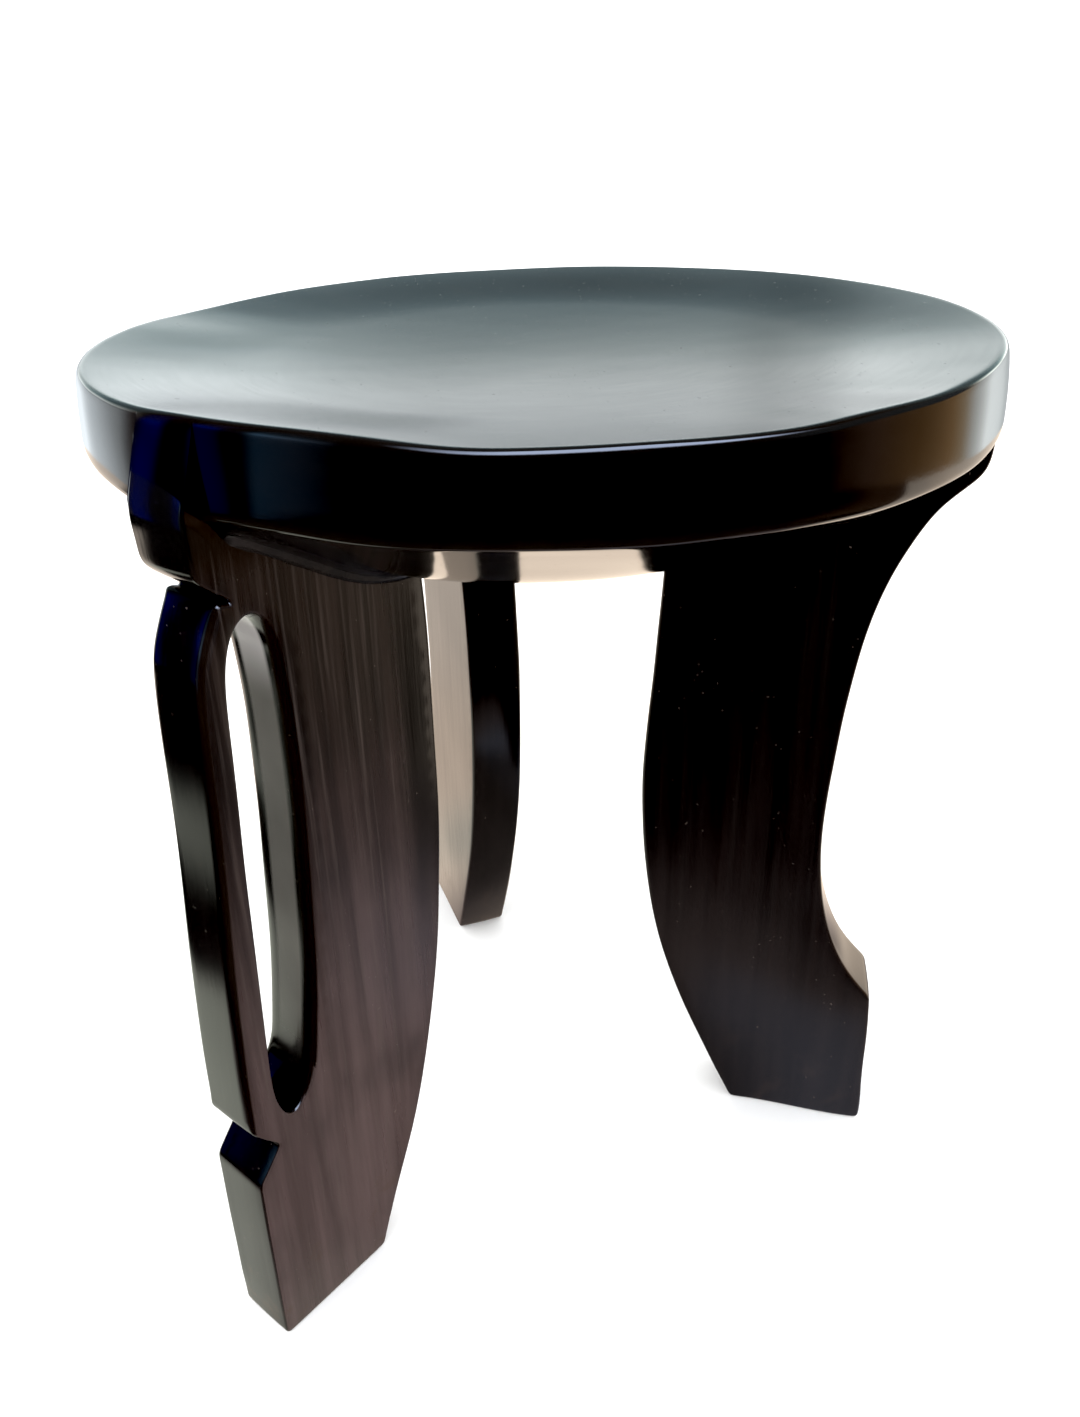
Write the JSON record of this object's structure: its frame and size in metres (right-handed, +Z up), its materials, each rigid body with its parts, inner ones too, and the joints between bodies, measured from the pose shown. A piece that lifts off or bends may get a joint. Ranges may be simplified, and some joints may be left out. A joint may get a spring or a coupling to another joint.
{
  "type": "three-legged stool",
  "caption": "Low round stool: dished seat on flared plank legs, with a strap carrying grip cut into one of the legs, in near-black polished wood.",
  "frame": {"origin": "centre of the footprint box on the floor, the seat's axis standing 10 mm behind it", "axes": "+Z up; the leg with the carrying grip points along -Y, the right leg along +30 degrees from +X and the rear leg along +150 degrees"},
  "size_m": [0.3672, 0.3883, 0.4071],
  "materials": {
    "seat_wood": "near-black stained hardwood, polished",
    "leg_wood": "near-black stained hardwood with a brown cast, polished",
    "wedge_wood": "bare split hardwood"
  },
  "bodies": {
    "root": {"seat": "seat_wood", "handle_leg": "leg_wood", "right_leg": "leg_wood", "rear_leg": "leg_wood", "handle_leg_outer_wedge": "wedge_wood", "handle_leg_inner_wedge": "wedge_wood", "right_leg_outer_wedge": "wedge_wood", "right_leg_inner_wedge": "wedge_wood", "rear_leg_outer_wedge": "wedge_wood", "rear_leg_inner_wedge": "wedge_wood"}
  },
  "joints": []
}
